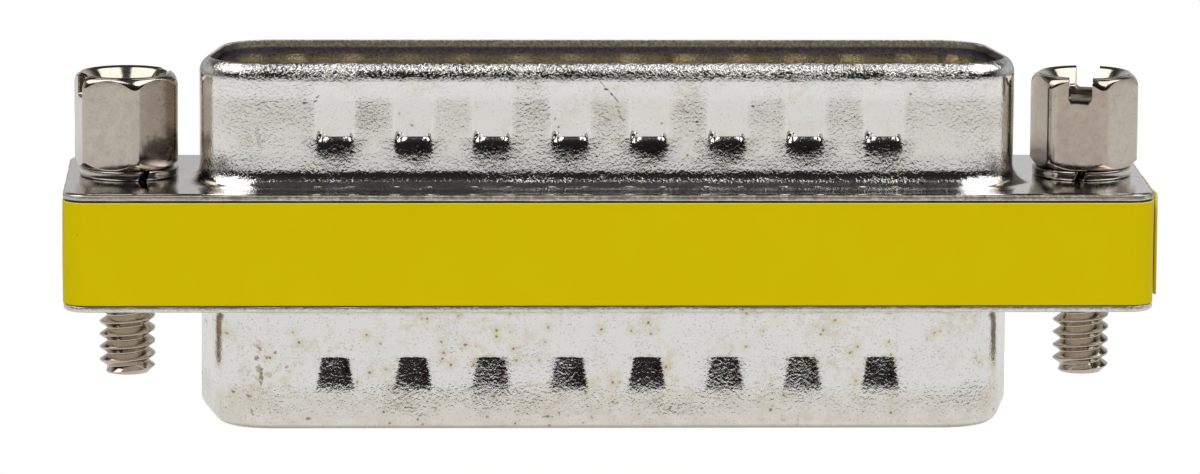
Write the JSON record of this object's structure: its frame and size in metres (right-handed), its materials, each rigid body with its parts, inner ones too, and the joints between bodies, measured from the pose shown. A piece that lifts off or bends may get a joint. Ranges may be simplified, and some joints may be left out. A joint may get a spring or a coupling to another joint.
{
  "type": "d-sub gender changer",
  "caption": "Slimline D-sub plug-to-plug gender changer: back-to-back steel shells, blue insulators, gold through pins, yellow wrap band and hex jackscrews.",
  "frame": {"origin": "centre of the body, on the middle plane between the two ports", "axes": "+X along the long side, +Z out of the upper port, -Y towards the wide side of the upper port's D shape"},
  "size_m": [0.0534, 0.0126, 0.018],
  "materials": {
    "shell_plating": "bright tin plating over stamped steel, lightly orange-peeled",
    "insulator_blue": "moulded glass-filled plastic, satin",
    "label_film": "yellow film, semi-gloss",
    "jackscrew_nickel": "warm nickel plate, satin flats and bright chamfers",
    "washer_nickel": "nickel plate",
    "contact_gold": "gold flash over brass"
  },
  "bodies": {
    "body": {"upper_shell": "shell_plating", "lower_shell": "shell_plating", "upper_insulator": "insulator_blue", "lower_insulator": "insulator_blue", "label_band": "label_film", "contact_01": "contact_gold", "contact_02": "contact_gold", "contact_03": "contact_gold", "contact_04": "contact_gold", "contact_05": "contact_gold", "contact_06": "contact_gold", "contact_07": "contact_gold", "contact_08": "contact_gold", "contact_09": "contact_gold", "contact_10": "contact_gold", "contact_11": "contact_gold", "contact_12": "contact_gold", "contact_13": "contact_gold", "contact_14": "contact_gold", "contact_15": "contact_gold", "contact_16": "contact_gold", "contact_17": "contact_gold", "contact_18": "contact_gold", "contact_19": "contact_gold", "contact_20": "contact_gold", "contact_21": "contact_gold", "contact_22": "contact_gold", "contact_23": "contact_gold", "contact_24": "contact_gold", "contact_25": "contact_gold"},
    "washer_left": {"lock_washer_left": "washer_nickel"},
    "screw_left": {"jackscrew_left": "jackscrew_nickel"},
    "washer_right": {"lock_washer_right": "washer_nickel"},
    "screw_right": {"jackscrew_right": "jackscrew_nickel"}
  },
  "joints": [
    {"name": "screw_left_turn", "type": "hinge", "parent": "body", "child": "washer_left", "pos_m": [-0.02352, 0, 0.0029], "axis": [0, 0, 1], "continuous": true},
    {"name": "screw_left_lift", "type": "slide", "parent": "washer_left", "child": "screw_left", "axis": [0, 0, 1], "range_m": [0, 0.0105]},
    {"name": "screw_right_turn", "type": "hinge", "parent": "body", "child": "washer_right", "pos_m": [0.02352, 0, 0.0029], "axis": [0, 0, 1], "continuous": true},
    {"name": "screw_right_lift", "type": "slide", "parent": "washer_right", "child": "screw_right", "axis": [0, 0, 1], "range_m": [0, 0.0105]}
  ]
}
